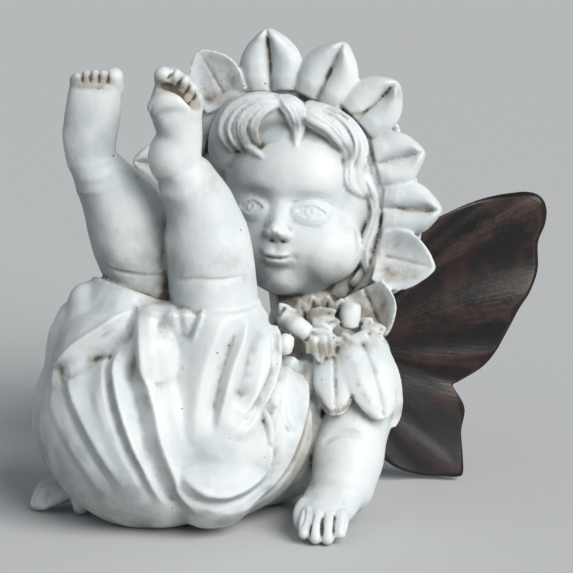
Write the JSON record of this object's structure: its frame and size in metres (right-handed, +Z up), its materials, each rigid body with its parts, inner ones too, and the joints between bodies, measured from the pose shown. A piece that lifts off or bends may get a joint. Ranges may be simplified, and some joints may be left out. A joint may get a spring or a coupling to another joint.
{
  "type": "baby fairy statue",
  "caption": "Garden statue of a reclining baby fairy in a romper and petal bonnet, bare feet kicked up, with two separate dark wings; stands by its own weight.",
  "frame": {"origin": "on the floor, on the flat under the seat that the statue rests on", "axes": "+Z up, the statue's soles and face look towards -Y, its left arm and left wing are towards +X"},
  "size_m": [0.3122, 0.2847, 0.2834],
  "materials": {
    "white_cast": "white-painted cast resin with a dull sheen, grey-brown grime in the hollows and small pinholes",
    "bronze_cast": "thin casting painted as dark weathered bronze with red-brown streaks along its ribs"
  },
  "bodies": {
    "root": {"figure": "white_cast", "left_wing": "bronze_cast", "right_wing": "bronze_cast"}
  },
  "joints": []
}
